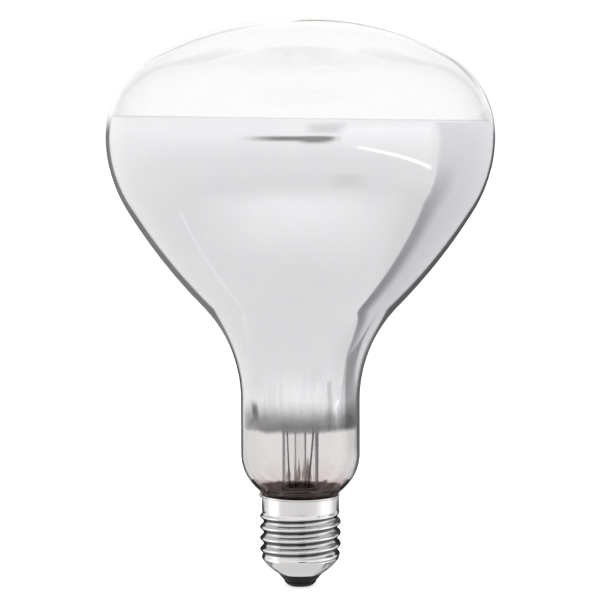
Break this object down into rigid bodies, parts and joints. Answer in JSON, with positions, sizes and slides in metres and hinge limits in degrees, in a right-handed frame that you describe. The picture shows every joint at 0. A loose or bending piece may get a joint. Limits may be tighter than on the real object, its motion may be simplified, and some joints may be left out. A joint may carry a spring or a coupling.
{
  "type": "infrared heat lamp bulb",
  "caption": "Blown-glass infrared reflector bulb with a clear domed face, silvered flank, filament mount and screw cap.",
  "frame": {"origin": "centre of the flat tip of the centre contact's solder, at the cap's lower end", "axes": "+Z along the lamp's axis from the cap towards the clear face; +X towards the right of the picture, with the side solder bead at -X; -Y towards the camera"},
  "size_m": [0.125, 0.125, 0.1845],
  "materials": {
    "clear_glass": "polished",
    "aluminium_film": "polished",
    "stem_glass": "polished",
    "tungsten": "satin",
    "molybdenum": "satin",
    "nickel_wire": "satin",
    "copper_clad_wire": "satin",
    "tinned_wire": "satin",
    "basing_cement": "matte",
    "plated_shell": "polished",
    "black_glass": "gloss",
    "contact_brass": "satin",
    "solder": "satin"
  },
  "bodies": {
    "root": {"glass_envelope": "clear_glass", "reflector_film": "aluminium_film", "glass_stem": "stem_glass", "exhaust_tube": "stem_glass", "arbor_rod": "stem_glass", "filament_coil": "tungsten", "support_wire_1": "molybdenum", "support_wire_2": "molybdenum", "support_wire_3": "molybdenum", "support_wire_4": "molybdenum", "support_wire_5": "molybdenum", "inner_lead_left": "nickel_wire", "inner_lead_right": "nickel_wire", "seal_wire_left": "copper_clad_wire", "seal_wire_right": "copper_clad_wire", "outer_lead_side": "tinned_wire", "outer_lead_centre": "tinned_wire", "basing_cement": "basing_cement", "screw_shell": "plated_shell", "insulator": "black_glass", "centre_contact": "contact_brass", "centre_solder": "solder", "side_solder": "solder"}
  },
  "joints": []
}
